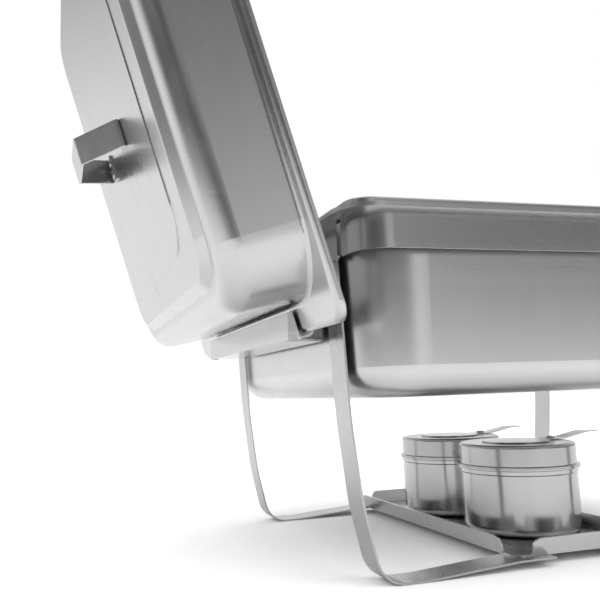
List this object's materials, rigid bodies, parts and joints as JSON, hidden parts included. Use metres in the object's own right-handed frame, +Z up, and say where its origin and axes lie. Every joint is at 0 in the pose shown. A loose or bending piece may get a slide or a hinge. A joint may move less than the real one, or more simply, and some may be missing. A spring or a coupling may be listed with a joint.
{
  "type": "chafing dish food warmer",
  "caption": "Stainless steel chafing dish with folded-strip stand, water pan, food pan, fuel burners on a tray and a lid hung open on its end hooks.",
  "frame": {"origin": "bottom centre of the whole set's box, on the table, with the lid hung at the left end", "axes": "+X along the dish from the hung lid to the free end, +Y from front to back, +Z up"},
  "size_m": [0.5436, 0.358, 0.5257],
  "materials": {
    "pan_steel": "satin drawn stainless steel",
    "lid_steel": "satin polished stainless steel",
    "handle_steel": "satin stainless strip",
    "frame_steel": "brushed stainless strip",
    "tray_steel": "brushed stainless sheet",
    "burner_steel": "polished drawn stainless steel",
    "damper_steel": "satin stainless sheet"
  },
  "bodies": {
    "stand": {"side_band_front": "frame_steel", "side_band_back": "frame_steel", "end_bracket_left": "frame_steel", "end_bracket_right": "frame_steel", "lid_hooks_left": "frame_steel", "lid_hooks_right": "frame_steel", "leg_front_left": "frame_steel", "leg_back_left": "frame_steel", "leg_front_right": "frame_steel", "leg_back_right": "frame_steel", "burner_tray": "tray_steel"},
    "water_pan": {"water_pan": "pan_steel"},
    "food_pan": {"food_pan": "pan_steel"},
    "lid": {"lid_shell": "lid_steel", "lid_handle": "handle_steel", "lid_handle_rivets": "handle_steel"},
    "burner_cup_front": {"burner_cup_front": "burner_steel"},
    "burner_cover_front": {"burner_cover_front": "burner_steel", "damper_pin_front": "damper_steel"},
    "burner_damper_front": {"burner_damper_front": "damper_steel"},
    "burner_cup_back": {"burner_cup_back": "burner_steel"},
    "burner_cover_back": {"burner_cover_back": "burner_steel", "damper_pin_back": "damper_steel"},
    "burner_damper_back": {"burner_damper_back": "damper_steel"}
  },
  "joints": [
    {"name": "water_pan_lift", "type": "slide", "parent": "stand", "child": "water_pan", "axis": [0, 0, 1], "range_m": [0, 0.15]},
    {"name": "food_pan_lift", "type": "slide", "parent": "water_pan", "child": "food_pan", "axis": [0, 0, 1], "range_m": [0, 0.12]},
    {"name": "lid_lift", "type": "slide", "parent": "stand", "child": "lid", "axis": [-0.274, 0, 0.9617], "range_m": [0, 0.12]},
    {"name": "burner_lift_front", "type": "slide", "parent": "stand", "child": "burner_cup_front", "axis": [0, 0, 1], "range_m": [0, 0.014]},
    {"name": "cover_lift_front", "type": "slide", "parent": "burner_cup_front", "child": "burner_cover_front", "axis": [0, 0, 1], "range_m": [0, 0.014]},
    {"name": "damper_turn_front", "type": "hinge", "parent": "burner_cover_front", "child": "burner_damper_front", "pos_m": [0.10916, -0.048, 0.0772], "axis": [0, 0, 1], "range_deg": [0, 85]},
    {"name": "burner_lift_back", "type": "slide", "parent": "stand", "child": "burner_cup_back", "axis": [0, 0, 1], "range_m": [0, 0.014]},
    {"name": "cover_lift_back", "type": "slide", "parent": "burner_cup_back", "child": "burner_cover_back", "axis": [0, 0, 1], "range_m": [0, 0.014]},
    {"name": "damper_turn_back", "type": "hinge", "parent": "burner_cover_back", "child": "burner_damper_back", "pos_m": [0.10956, 0.048, 0.0772], "axis": [0, 0, 1], "range_deg": [-85, 0]}
  ]
}
